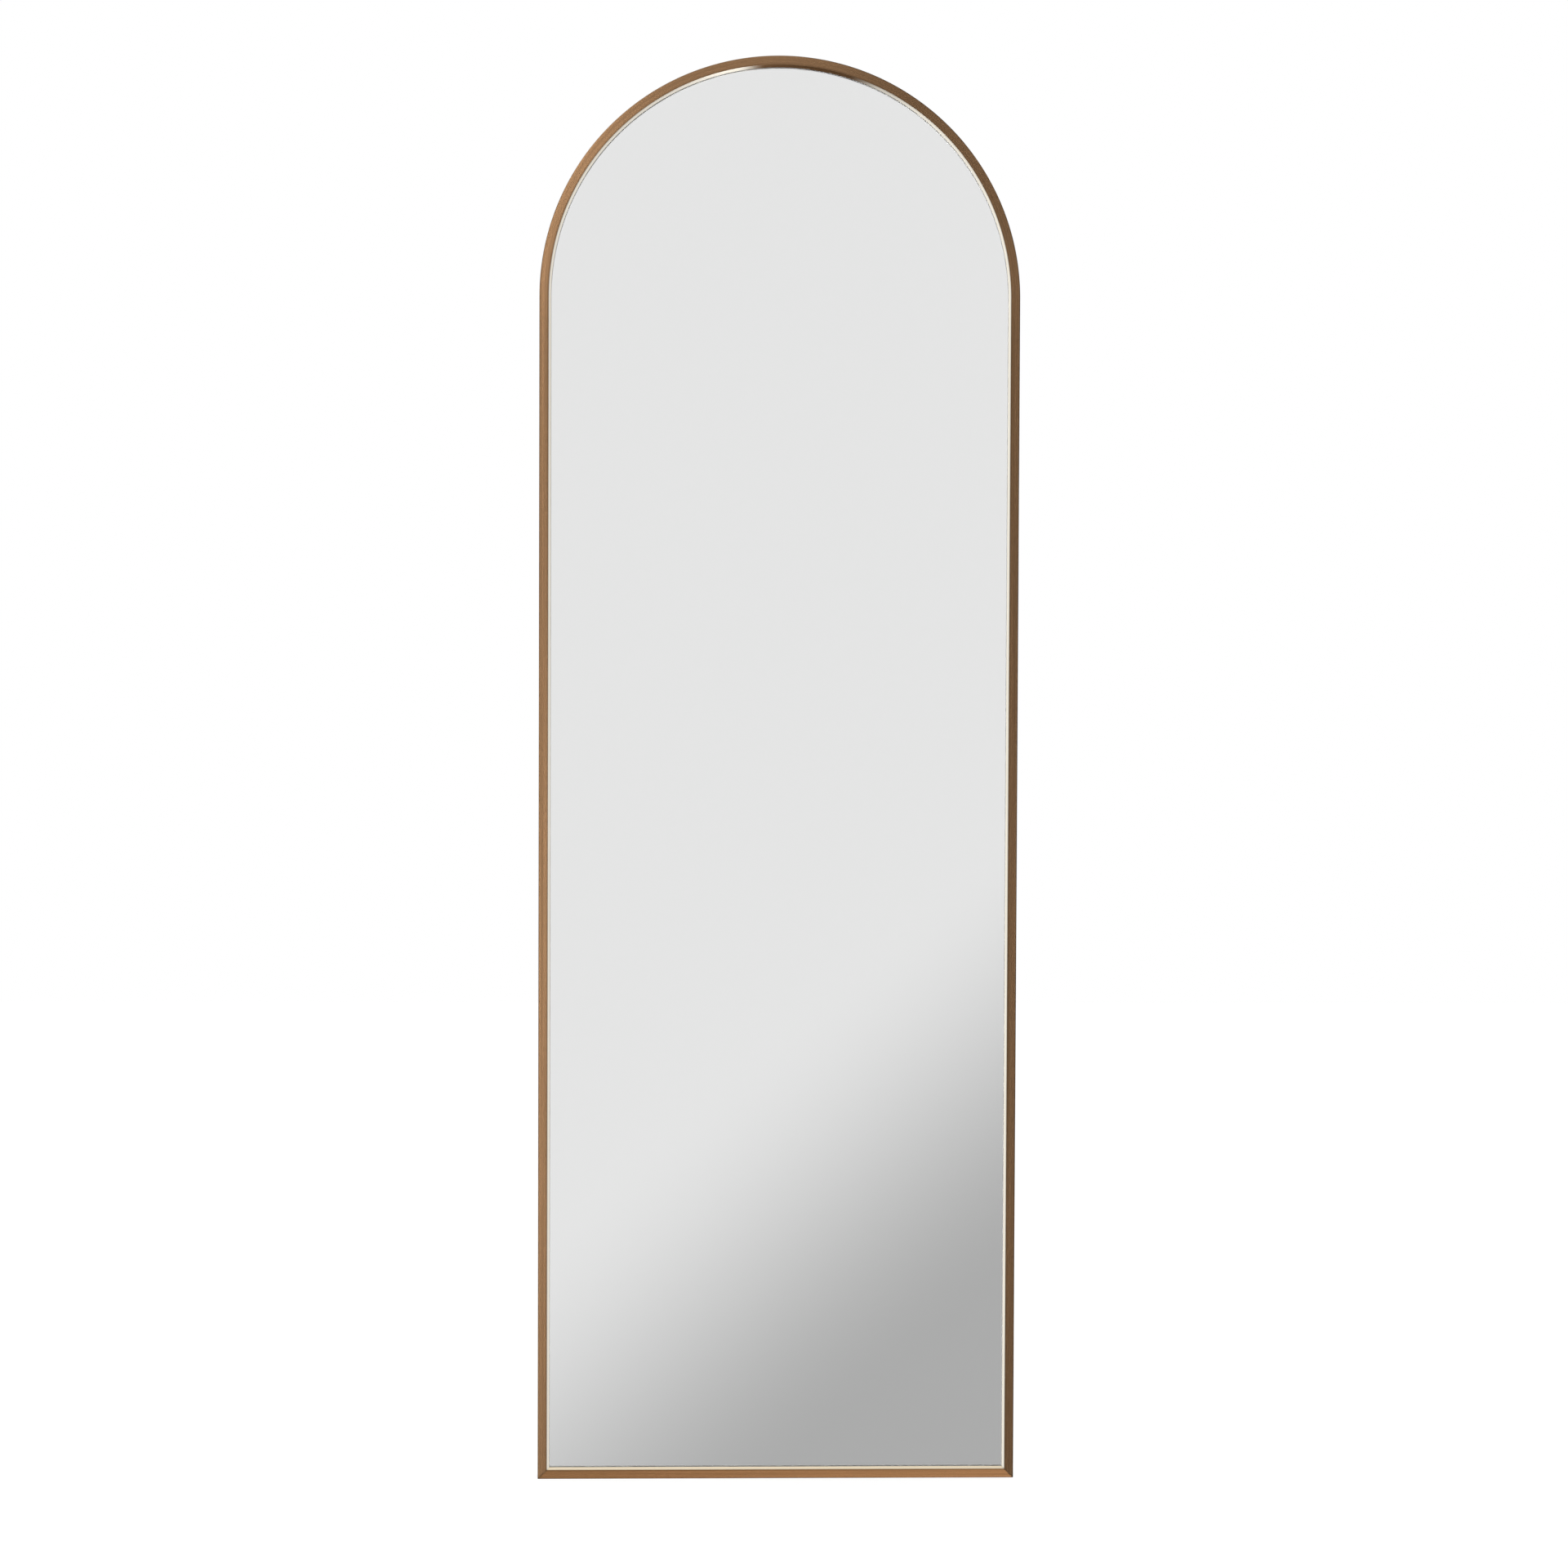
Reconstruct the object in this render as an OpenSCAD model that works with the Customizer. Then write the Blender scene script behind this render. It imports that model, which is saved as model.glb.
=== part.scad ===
// Arched wall mirror: a bent hollow profile with a mitred bottom rail holds the glass and its backing.
// Two steel rails tie the legs together behind the board, and the upper one carries the hanging rings.
// Millimetres. X runs across, Y runs from the front to the wall, Z is up.
// The origin is on the wall plane, midway between the rings, level with their hinge line.

/* [Mirror] */
// Width across the frame
mirror_w = 610; // [520:5:800]
// Height from the bottom edge to the crown of the arch
mirror_h = 1813; // [1500:1:2000]
// Depth of the frame from its front face to its rear face
frame_d = 30; // [27:0.5:40]

/* [Frame profile] */
// Width of the flat front face
face_w = 11.5; // [11:0.5:16]
// Width of the bevel along the glass
bevel_w = 3.25; // [1.5:0.25:4]
// Depth of the bevel
bevel_d = 1.6; // [0.8:0.1:1.8]
// Thickness of the lip that covers the edge of the glass
lip_t = 2; // [2:0.1:3]
// Chamfer along the outer front edge
front_chamfer = 0.8; // [0.3:0.1:1.2]
// Chamfer along the outer rear edge
rear_chamfer = 0.5; // [0.2:0.1:1.2]
// Thickness of the outer wall, the web and the rear flange
wall_t = 1.5; // [1.2:0.1:2]
// Width of the hollow chamber behind the glass
chamber_w = 9; // [7.5:0.5:10]
// Gap along each mitre
mitre_gap = 0.2; // [0.05:0.05:0.4]

/* [Glass and backing] */
// Gap between the pack and the outer wall of the frame
edge_gap = 1.5; // [1:0.1:2]
// Thickness of the tape between the lip and the glass
tape_t = 0.8; // [0.5:0.1:1.5]
// Width of the tape
tape_w = 7; // [4:0.5:8]
// Distance from the edge of the lip to the tape
tape_setback = 2; // [1:0.25:3]
// Thickness of the glass
glass_t = 4; // [3:0.5:5]
// Thickness of the silvering and its paint
silver_t = 0.1; // [0.1:0.05:0.2]
// Thickness of the safety film
film_t = 0.2; // [0.1:0.05:0.3]
// Thickness of the foam sheet
foam_t = 1; // [0.5:0.25:2]
// Thickness of the backing board
board_t = 4; // [3:0.5:5]
// Play between the backing board and the web
pack_play = 0.2; // [0.1:0.05:0.4]
// Length of each setting block
block_l = 50; // [30:5:80]
// Distance between the centres of the setting blocks
block_pitch = 300; // [200:10:360]
// Length of each edge spacer
spacer_l = 30; // [20:2:50]
// Height of the lowest edge spacers above the bottom edge
spacer_z = 240; // [150:10:300]
// Distance between the edge spacers on a leg
spacer_pitch = 480; // [300:10:520]
// Angle between the edge spacers on the arch
spacer_angle = 45; // [35:5:55]

/* [Corner joints] */
// Length of each leg of a corner key
key_leg = 46; // [40:1:60]
// Play between a corner key and the chamber
key_play = 0.1; // [0.05:0.05:0.2]
// Lead-in chamfer at the end of each key leg
key_lead = 1.5; // [0.5:0.25:3]
// Distance from the end of a key leg to its outer screw
key_screw_end = 9; // [6:0.5:11]
// Distance between the two screws in a key leg
key_screw_pitch = 15; // [12:0.5:17]
// Shank diameter of the corner screws
corner_screw_d = 3; // [2.5:0.1:3.5]
// Length of the corner screws under the head
corner_screw_l = 9; // [7:0.5:11]
// Head diameter of the corner screws
pan_head_d = 5.6; // [5:0.1:6.4]
// Head height of the corner screws
pan_head_h = 1.8; // [1.4:0.1:2.2]

/* [Cross rails] */
// Height of each rail
rail_h = 50; // [46:1:60]
// Thickness of the rail steel
rail_t = 2; // [1.8:0.1:2.2]
// Depth of the front of each rail below the rear face of the frame
rail_drop = 10; // [8:0.5:11]
// Gap between the end of a rail and the leg
rail_play = 0.3; // [0.2:0.05:0.6]
// Inner radius of the bend at the end of a rail
rail_bend_r = 1.5; // [1:0.25:2.5]
// Distance from the end of a rail's flange to the outer edge of the leg
rail_flange_inset = 1.5; // [1:0.25:2]
// Height of the lower rail's centre above the bottom edge
lower_rail_z = 380; // [200:10:520]
// Distance between the two screws in an end flange
rail_screw_pitch = 30; // [20:1:34]
// Shank diameter of the rail screws
rail_screw_d = 3.5; // [3:0.1:4]
// Length of the rail screws over all
rail_screw_l = 10; // [8:0.5:12]
// Head diameter of the rail screws
csk_head_d = 6.6; // [6:0.1:7]
// Head height of the rail screws
csk_head_h = 1.7; // [1.2:0.1:1.8]
// Width and height of each foam pad
rail_pad_w = 40; // [30:1:46]
// Distance between the foam pads
rail_pad_pitch = 100; // [60:5:110]

/* [Hangers] */
// Distance of each ring's centre in from the side of the frame
hanger_inset = 105; // [90:1:120]
// Distance of the rings' hinge line below the start of the arch
ring_line_drop = 48; // [45:1:120]
// Distance of the hinge line below the top of the upper rail
hinge_inset = 6; // [5:0.5:8]
// Wire diameter of a ring
ring_wire_d = 3; // [2.5:0.1:3.4]
// Width inside a ring
ring_inner_w = 20; // [19:0.5:24]
// Bend radius at the ends of a ring's hinge bar, on the wire's centre line
ring_corner_r = 3.5; // [3:0.25:3.5]
// Length of the straight sides of a ring
ring_side_l = 1; // [0.5:0.25:2]
// Width of a hanger strap
strap_w = 14; // [12:0.5:14]
// Thickness of the strap steel
strap_t = 1.3; // [1:0.1:1.5]
// Length of a strap below the hinge line
strap_l = 40; // [38:0.5:40]
// Corner radius at the foot of a strap
strap_corner_r = 4; // [2:0.5:6]
// Radial play between the ring wire and the knuckle
knuckle_play = 0.08; // [0.05:0.01:0.1]
// Gap between a hanging ring and the face of its strap
ring_rest_gap = 0.35; // [0.3:0.05:0.5]
// Slit between the end of the curled knuckle and the strap
curl_slit = 0.5; // [0.3:0.1:0.8]
// Distance from the foot of a strap to its lower rivet
rivet_end = 6; // [5:0.25:7]
// Distance between the two rivets in a strap
rivet_pitch = 10; // [8:0.25:10]
// Diameter of a rivet's shank
rivet_d = 3.2; // [2.8:0.1:4]
// Diameter of a rivet's head
rivet_head_d = 6; // [5:0.1:6.5]
// Height of a rivet's head
rivet_head_h = 1.1; // [0.8:0.1:1.4]
// Diameter of the rivet's set tail in front of the rail
rivet_tail_d = 5; // [4.6:0.1:5.6]
// Height of that tail
rivet_tail_h = 0.9; // [0.6:0.1:1.2]

/* [Wall pads] */
// Diameter of each rubber pad
pad_d = 9; // [7:0.5:10]
// Thickness of each rubber pad
pad_t = 3; // [2.5:0.1:4]
// Chamfer round the wall side of a pad
pad_chamfer = 0.5; // [0.2:0.1:1]
// Height of the lower pads above the bottom edge
lower_pad_z = 90; // [80:5:150]
// Distance of the upper pads below the start of the arch
upper_pad_drop = 12; // [8:1:20]

/* [Screw details] */
// Clearance round each screw and rivet in its hole
hole_play = 0.05; // [0.05:0.05:0.15]
// Span of the cross recess in a screw head
recess_span = 3; // [2.4:0.1:3.4]
// Width of one slot of the cross recess
recess_w = 0.75; // [0.5:0.05:1]
// Depth of the cross recess
recess_depth = 1.1; // [0.8:0.1:1.2]

/* [Hidden] */

bronze = [0.62, 0.48, 0.35];
zinc = [0.74, 0.75, 0.76];
steel = [0.62, 0.63, 0.65];
rubber_black = [0.12, 0.12, 0.13];

// Overshoot of every cut past the face that it goes through
over = 1;
// Segments for the arch, for small round things and for shallow domes
arch_fn = 240;
round_fn = 48;
dome_fn = 192;

// Across the frame: half the width, the start of the arch, and distances in from the outer edge
half_w = mirror_w / 2;
spring_z = mirror_h - half_w;
sight_w = face_w + bevel_w;
tube_w = chamber_w + 2 * wall_t;
tube_mid = tube_w / 2;
pack_inset = wall_t + edge_gap;
leg_inner_x = half_w - tube_w;

// Through the depth, from the front face
glass_y = lip_t + tape_t;
silver_y = glass_y + glass_t;
film_y = silver_y + silver_t;
foam_y = film_y + film_t;
board_y = foam_y + foam_t;
pack_rear = board_y + board_t;
web_y = pack_rear + pack_play;
chamber_y = web_y + wall_t;
chamber_rear = frame_d - wall_t;
wall_y = frame_d + pad_t;

// Rails and hangers
ring_line_z = spring_z - ring_line_drop;
upper_rail_z = ring_line_z + hinge_inset - rail_h / 2;
rail_y = frame_d - rail_drop;
rail_rear = rail_y + rail_t;
rail_end_x = leg_inner_x - rail_play;
hanger_x = half_w - hanger_inset;
ring_r = ring_wire_d / 2;
ring_half_w = ring_inner_w / 2 + ring_r;
hinge_y = rail_rear + strap_t + ring_rest_gap + ring_r;
knuckle_r = ring_r + knuckle_play;
rivet_low_z = ring_line_z - strap_l + rivet_end;
rivet_zs = [rivet_low_z, rivet_low_z + rivet_pitch];

// Screw places: distances from the corner along a key leg, and heights in an end flange
key_outer_s = key_leg - key_screw_end;
key_screw_s = [key_outer_s - key_screw_pitch, key_outer_s];
rail_screw_dz = [-rail_screw_pitch / 2, rail_screw_pitch / 2];
rail_zs = [lower_rail_z, upper_rail_z];

// Moves the model from its drawing place, bottom edge at Z 0 and front face at Y 0, to its origin
module placed() {
    translate([0, -wall_y, -ring_line_z])
        children();
}

// Repeats its children on the left and on the right
module both_sides() {
    children();
    mirror([1, 0, 0])
        children();
}

// Section of the frame: X is the distance in from the outer edge, Y the depth
module profile_2d() {
    difference() {
        polygon([
            [0, front_chamfer],
            [front_chamfer, 0],
            [face_w, 0],
            [sight_w, bevel_d],
            [sight_w, lip_t],
            [wall_t, lip_t],
            [wall_t, web_y],
            [tube_w, web_y],
            [tube_w, frame_d],
            [rear_chamfer, frame_d],
            [0, frame_d - rear_chamfer]
        ]);
        translate([wall_t, chamber_y])
            square([chamber_w, chamber_rear - chamber_y]);
    }
}

// Sweeps a section round the arch, from angle a0 through angle a
module round_arch(a0, a) {
    translate([0, 0, spring_z])
        rotate([90, 0, 0])
            rotate([0, 0, a0])
                rotate_extrude(angle = a, $fn = arch_fn)
                    translate([half_w, 0])
                        rotate(180)
                            children();
}

// Wedge that leaves a 45 degree end on the right leg, or with below = false on the right end of the rail
module mitre_wedge(below) {
    shift = mitre_gap / sqrt(2) * (below ? 1 : -1);
    reach = sight_w + over;
    edge = below ? -2 * over : reach + over;
    translate([half_w, frame_d + over, 0])
        rotate([90, 0, 0])
            linear_extrude(frame_d + 2 * over)
                polygon([
                    [over, -over + shift],
                    [-reach, reach + shift],
                    [-reach, edge],
                    [over, edge]
                ]);
}

// Full outline of a flat layer whose edge lies the given distance in from the outer edge
module arch_2d(inset) {
    r = half_w - inset;
    translate([-r, inset])
        square([2 * r, spring_z - inset]);
    translate([0, spring_z])
        circle(r, $fn = arch_fn);
}

// Stands a flat layer up, from depth y back through thickness t
module layer(y, t) {
    translate([0, y + t, 0])
        rotate([90, 0, 0])
            linear_extrude(t)
                children();
}

// Head with a low dome: flat side at Z 0, crown at height h
module dome_head(d, h) {
    crown_r = (d * d / 4 + h * h) / (2 * h);
    rotate_extrude($fn = round_fn)
        intersection() {
            translate([0, h - crown_r])
                circle(crown_r, $fn = dome_fn);
            square([d / 2, h]);
        }
}

// Cross recess for a driver, cut down from Z 0
module cross_recess() {
    for (a = [0, 90])
        rotate([0, 0, a])
            translate([-recess_span / 2, -recess_w / 2, -recess_depth])
                cube([recess_span, recess_w, recess_depth + over]);
}

// Pan-head screw: underside of the head at Z 0, shank down -Z
module pan_screw(d, l, head_d, head_h) {
    difference() {
        union() {
            dome_head(head_d, head_h);
            translate([0, 0, -l])
                cylinder(d = d, h = l + head_h / 2, $fn = round_fn);
        }
        translate([0, 0, head_h])
            cross_recess();
    }
}

// Countersunk body, shank down -Z, grown by play all round: its cone is head_d wide at Z 0 and runs on to top
module csk_body(d, l, head_d, head_h, play, top) {
    flare = (head_d - d) / head_h;
    wide_d = head_d + 2 * play + flare * top;
    translate([0, 0, -head_h])
        cylinder(d1 = d + 2 * play, d2 = wide_d, h = head_h + top, $fn = round_fn);
    translate([0, 0, -l])
        cylinder(d = d + 2 * play, h = l, $fn = round_fn);
}

// Countersunk screw with a cross recess
module csk_screw(d, l, head_d, head_h) {
    difference() {
        csk_body(d, l, head_d, head_h, 0, 0);
        cross_recess();
    }
}

// Turns a screw drawn along Z so that its head faces the wall, with its Z 0 at depth y
module facing_wall(x, y, z) {
    translate([x, y, z])
        rotate([-90, 0, 0])
            children();
}

// Children at the corner screws of the right leg, then of the right end of the bottom rail
module at_leg_key_screws() {
    for (s = key_screw_s)
        facing_wall(half_w - tube_mid, frame_d, s)
            children();
}
module at_rail_key_screws() {
    for (s = key_screw_s)
        facing_wall(half_w - s, frame_d, tube_mid)
            children();
}

// Children at the screws of every rail end on the right, at depth y
module at_rail_screws(y) {
    for (z = rail_zs, dz = rail_screw_dz)
        facing_wall(half_w - tube_mid, y, z + dz)
            children();
}

// Holes for the corner screws, from the rear face down into the keys
module key_screw_hole() {
    translate([0, 0, -corner_screw_l - over])
        cylinder(d = corner_screw_d + 2 * hole_play, h = corner_screw_l + 2 * over, $fn = round_fn);
}

// Hole for a rail screw through the rear flange of a leg
module rail_screw_hole() {
    translate([0, 0, -wall_t - over])
        cylinder(d = rail_screw_d + 2 * hole_play, h = wall_t + 2 * over, $fn = round_fn);
}

// Frame

module frame_bow() {
    color(bronze)
        placed()
            difference() {
                union() {
                    round_arch(0, 180)
                        profile_2d();
                    both_sides()
                        translate([half_w, 0, 0])
                            linear_extrude(spring_z)
                                mirror([1, 0])
                                    profile_2d();
                }
                both_sides() {
                    mitre_wedge(true);
                    at_leg_key_screws()
                        key_screw_hole();
                    at_rail_screws(frame_d)
                        rail_screw_hole();
                }
            }
}

module bottom_rail() {
    color(bronze)
        placed()
            difference() {
                rotate([0, -90, 0])
                    linear_extrude(mirror_w, center = true)
                        profile_2d();
                both_sides() {
                    mitre_wedge(false);
                    at_rail_key_screws()
                        key_screw_hole();
                }
            }
}

// Die-cast L that fills the chambers on both sides of the right mitre
module corner_key() {
    key_d = chamber_rear - chamber_y - 2 * key_play;
    outer = wall_t + key_play;
    inner = wall_t + chamber_w - key_play;
    difference() {
        translate([half_w, chamber_rear - key_play, 0])
            rotate([90, 0, 0])
                linear_extrude(key_d)
                    mirror([1, 0])
                        polygon([
                            [outer, outer],
                            [key_leg - key_lead, outer],
                            [key_leg, outer + key_lead],
                            [key_leg, inner - key_lead],
                            [key_leg - key_lead, inner],
                            [inner, inner],
                            [inner, key_leg - key_lead],
                            [inner - key_lead, key_leg],
                            [outer + key_lead, key_leg],
                            [outer, key_leg - key_lead]
                        ]);
        at_leg_key_screws()
            key_screw_hole();
        at_rail_key_screws()
            key_screw_hole();
    }
}

module corner_key_left() {
    color(zinc)
        placed()
            mirror([1, 0, 0])
                corner_key();
}

module corner_key_right() {
    color(zinc)
        placed()
            corner_key();
}

module corner_screws() {
    color(steel)
        placed()
            both_sides() {
                at_leg_key_screws()
                    pan_screw(corner_screw_d, corner_screw_l, pan_head_d, pan_head_h);
                at_rail_key_screws()
                    pan_screw(corner_screw_d, corner_screw_l, pan_head_d, pan_head_h);
            }
}

// Glass and backing

module glazing_tape() {
    color("black")
        placed()
            layer(lip_t, tape_t)
                difference() {
                    arch_2d(sight_w - tape_setback - tape_w);
                    arch_2d(sight_w - tape_setback);
                }
}

module mirror_glass() {
    color([0.86, 0.90, 0.89])
        placed()
            layer(glass_y, glass_t)
                arch_2d(pack_inset);
}

module silver_coating() {
    color("silver")
        placed()
            layer(silver_y, silver_t)
                arch_2d(pack_inset);
}

module safety_film() {
    color([0.55, 0.60, 0.64])
        placed()
            layer(film_y, film_t)
                arch_2d(pack_inset);
}

module foam_sheet() {
    color("whitesmoke")
        placed()
            layer(foam_y, foam_t)
                arch_2d(pack_inset);
}

module backing_board() {
    color([0.62, 0.47, 0.31])
        placed()
            layer(board_y, board_t)
                arch_2d(pack_inset);
}

module setting_blocks() {
    color(rubber_black)
        placed()
            both_sides()
                translate([block_pitch / 2 - block_l / 2, glass_y, wall_t])
                    cube([block_l, pack_rear - glass_y, edge_gap]);
}

// Spacers beside the pack: two on each leg and three round the arch
module edge_spacers() {
    depth = pack_rear - glass_y;
    spacer_a = spacer_l / half_w * 180 / PI;
    color(rubber_black)
        placed() {
            both_sides()
                for (z = [spacer_z, spacer_z + spacer_pitch])
                    translate([half_w - pack_inset, glass_y, z])
                        cube([edge_gap, depth, spacer_l]);
            for (a = [-spacer_angle, 0, spacer_angle])
                round_arch(90 + a - spacer_a / 2, spacer_a)
                    translate([wall_t, glass_y])
                        square([edge_gap, depth]);
        }
}

// Cross rails

// Plan of the right half of a rail: bar, bend, step along the leg, and flange over the rear face
module rail_half_2d() {
    bend_x = rail_end_x - rail_t - rail_bend_r;
    bend_y = rail_rear + rail_bend_r;
    translate([0, rail_y])
        square([bend_x, rail_t]);
    translate([bend_x, bend_y])
        intersection() {
            difference() {
                circle(rail_bend_r + rail_t, $fn = round_fn);
                circle(rail_bend_r, $fn = round_fn);
            }
            translate([0, -rail_bend_r - rail_t])
                square(rail_bend_r + rail_t);
        }
    translate([rail_end_x - rail_t, bend_y])
        square([rail_t, frame_d - bend_y]);
    translate([rail_end_x, frame_d])
        intersection() {
            circle(rail_t, $fn = round_fn);
            translate([-rail_t, 0])
                square(rail_t);
        }
    translate([rail_end_x, frame_d])
        square([half_w - rail_flange_inset - rail_end_x, rail_t]);
}

module cross_rail(z) {
    difference() {
        translate([0, 0, z - rail_h / 2])
            linear_extrude(rail_h)
                both_sides()
                    rail_half_2d();
        both_sides()
            at_rail_screws(frame_d + rail_t)
                csk_body(rail_screw_d, rail_screw_l, csk_head_d, csk_head_h, hole_play, over);
    }
}

// Children at the rivets of both straps, with Z 0 on the face at depth y
module at_rivets(y) {
    for (x = [-hanger_x, hanger_x], z = rivet_zs)
        facing_wall(x, y, z)
            children();
}

// Hole for a rivet through a strap and the rail, drawn from the rear face of the strap
module rivet_hole() {
    translate([0, 0, -strap_t - rail_t - over])
        cylinder(d = rivet_d + 2 * hole_play, h = strap_t + rail_t + 2 * over, $fn = round_fn);
}

module upper_rail() {
    color(zinc)
        placed()
            difference() {
                cross_rail(upper_rail_z);
                at_rivets(rail_rear + strap_t)
                    rivet_hole();
            }
}

module lower_rail() {
    color(zinc)
        placed()
            cross_rail(lower_rail_z);
}

module rail_pads() {
    color([0.25, 0.26, 0.28])
        placed()
            for (z = rail_zs, k = [-1, 0, 1])
                translate([k * rail_pad_pitch - rail_pad_w / 2, pack_rear, z - rail_pad_w / 2])
                    cube([rail_pad_w, rail_y - pack_rear, rail_pad_w]);
}

module rail_screws() {
    color(steel)
        placed()
            both_sides()
                at_rail_screws(frame_d + rail_t)
                    csk_screw(rail_screw_d, rail_screw_l, csk_head_d, csk_head_h);
}

// Hangers

// Strap riveted to the rail, curled into a knuckle round the ring's hinge bar
module hanger_strap(x) {
    difference() {
        union() {
            translate([x, rail_rear + strap_t, ring_line_z])
                rotate([90, 0, 0])
                    linear_extrude(strap_t)
                        union() {
                            translate([-strap_w / 2, strap_corner_r - strap_l])
                                square([strap_w, strap_l - strap_corner_r]);
                            translate([-strap_w / 2 + strap_corner_r, -strap_l])
                                square([strap_w - 2 * strap_corner_r, strap_corner_r]);
                            for (side = [-1, 1])
                                translate([side * (strap_w / 2 - strap_corner_r), strap_corner_r - strap_l])
                                    circle(strap_corner_r, $fn = round_fn);
                        }
            translate([x, hinge_y, ring_line_z])
                rotate([0, 90, 0])
                    cylinder(r = knuckle_r + strap_t, h = strap_w, center = true, $fn = round_fn);
        }
        translate([x, hinge_y, ring_line_z])
            rotate([0, 90, 0])
                cylinder(r = knuckle_r, h = strap_w + 2 * over, center = true, $fn = round_fn);
        translate([x - strap_w / 2 - over, rail_rear + strap_t, ring_line_z - knuckle_r - strap_t - over])
            cube([strap_w + 2 * over, curl_slit, knuckle_r + strap_t + over - ring_r / 2]);
        at_rivets(rail_rear + strap_t)
            rivet_hole();
    }
}

module hanger_strap_left() {
    color(zinc)
        placed()
            hanger_strap(-hanger_x);
}

module hanger_strap_right() {
    color(zinc)
        placed()
            hanger_strap(hanger_x);
}

// Rivets: domed head on the strap, flatter tail in front of the rail
module hanger_rivets() {
    grip = strap_t + rail_t;
    color(steel)
        placed()
            at_rivets(rail_rear + strap_t) {
                dome_head(rivet_head_d, rivet_head_h);
                translate([0, 0, -grip])
                    cylinder(d = rivet_d, h = grip + rivet_head_h / 2, $fn = round_fn);
                translate([0, 0, -grip])
                    mirror([0, 0, 1])
                        dome_head(rivet_tail_d, rivet_tail_h);
            }
}

// Bend of the ring wire in the XY plane, centred on the origin, from angle a0 through angle a
module wire_bend(r, a0, a) {
    rotate([0, 0, a0])
        rotate_extrude(angle = a, $fn = round_fn)
            translate([r, 0])
                circle(ring_r, $fn = round_fn);
}

// D-ring drawn flat in the XY plane: hinge bar along X at Y 0, bow towards -Y
module d_ring() {
    bar_half = ring_half_w - ring_corner_r;
    rotate([0, 90, 0])
        cylinder(r = ring_r, h = 2 * bar_half, center = true, $fn = round_fn);
    both_sides() {
        translate([bar_half, -ring_corner_r, 0])
            wire_bend(ring_corner_r, 0, 90);
        translate([ring_half_w, -ring_corner_r, 0])
            rotate([90, 0, 0])
                cylinder(r = ring_r, h = ring_side_l, $fn = round_fn);
    }
    translate([0, -ring_corner_r - ring_side_l, 0])
        wire_bend(ring_half_w, 180, 180);
}

// Ring hanging down from its hinge line
module hanger_ring(x) {
    color(steel)
        placed()
            translate([x, hinge_y, ring_line_z])
                rotate([90, 0, 0])
                    d_ring();
}

module hanger_ring_left() {
    hanger_ring(-hanger_x);
}

module hanger_ring_right() {
    hanger_ring(hanger_x);
}

// Wall pads

module wall_bumper() {
    cylinder(d = pad_d, h = pad_t - pad_chamfer, $fn = round_fn);
    translate([0, 0, pad_t - pad_chamfer])
        cylinder(d1 = pad_d, d2 = pad_d - 2 * pad_chamfer, h = pad_chamfer, $fn = round_fn);
}

module wall_bumpers() {
    color(rubber_black)
        placed()
            both_sides()
                for (z = [lower_pad_z, spring_z - upper_pad_drop])
                    facing_wall(half_w - tube_mid, frame_d, z)
                        wall_bumper();
}

frame_bow();
bottom_rail();
corner_key_left();
corner_key_right();
corner_screws();
glazing_tape();
mirror_glass();
silver_coating();
safety_film();
foam_sheet();
backing_board();
setting_blocks();
edge_spacers();
upper_rail();
lower_rail();
rail_pads();
rail_screws();
hanger_strap_left();
hanger_strap_right();
hanger_rivets();
hanger_ring_left();
hanger_ring_right();
wall_bumpers();
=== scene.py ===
from math import atan2, cos, hypot, pi, radians, sin, sqrt

import bmesh
import bpy
from mathutils import Matrix, Vector


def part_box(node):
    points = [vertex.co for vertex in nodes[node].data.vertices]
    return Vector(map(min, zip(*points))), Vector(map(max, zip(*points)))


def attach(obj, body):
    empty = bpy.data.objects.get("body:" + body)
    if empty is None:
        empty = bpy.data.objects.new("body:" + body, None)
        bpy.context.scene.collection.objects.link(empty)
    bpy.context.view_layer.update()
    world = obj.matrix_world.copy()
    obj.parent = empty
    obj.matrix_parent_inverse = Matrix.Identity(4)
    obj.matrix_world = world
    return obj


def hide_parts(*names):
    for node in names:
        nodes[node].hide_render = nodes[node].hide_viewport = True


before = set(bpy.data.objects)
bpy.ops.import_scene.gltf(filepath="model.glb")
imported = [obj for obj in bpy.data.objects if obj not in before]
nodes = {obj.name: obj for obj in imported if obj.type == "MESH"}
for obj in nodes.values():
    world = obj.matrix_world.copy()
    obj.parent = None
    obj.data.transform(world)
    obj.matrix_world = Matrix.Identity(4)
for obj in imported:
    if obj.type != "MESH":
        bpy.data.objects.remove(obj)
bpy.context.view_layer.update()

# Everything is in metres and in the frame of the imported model: front towards -Y, wall towards +Y, up +Z

# The frame profile. Inset is measured from the outer edge inwards, depth from the front face backwards
MIRROR_H = 1.813
FACE_W = 0.0115
BEVEL_W = 0.00325
BEVEL_D = 0.0016
LIP_T = 0.002
FRONT_CHAMFER = 0.0008
REAR_CHAMFER = 0.0005
WALL_T = 0.0015
CHAMBER_W = 0.009
GROOVE_W = 0.0103
MITRE_GAP = 0.0002
EDGE_ROUND = 0.00012
ARCH_STEPS = 360
HAIR = 0.00001

SIGHT_W = FACE_W + BEVEL_W
TUBE_W = CHAMBER_W + 2 * WALL_T
WEB_D = LIP_T + GROOVE_W
CHAMBER_D = WEB_D + WALL_T

bow_low, bow_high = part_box("frame_bow")
HALF_W = bow_high.x
FRONT_Y = bow_low.y
FRAME_D = bow_high.y - bow_low.y
FOOT_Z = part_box("bottom_rail")[0].z
SPRING_Z = FOOT_Z + MIRROR_H - HALF_W
CROWN_Z = bow_high.z
CHAMBER_REAR = FRAME_D - WALL_T

ACROSS = Vector((1, 0, 0))
BACK = Vector((0, 1, 0))
UP = Vector((0, 0, 1))


# Node building

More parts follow.
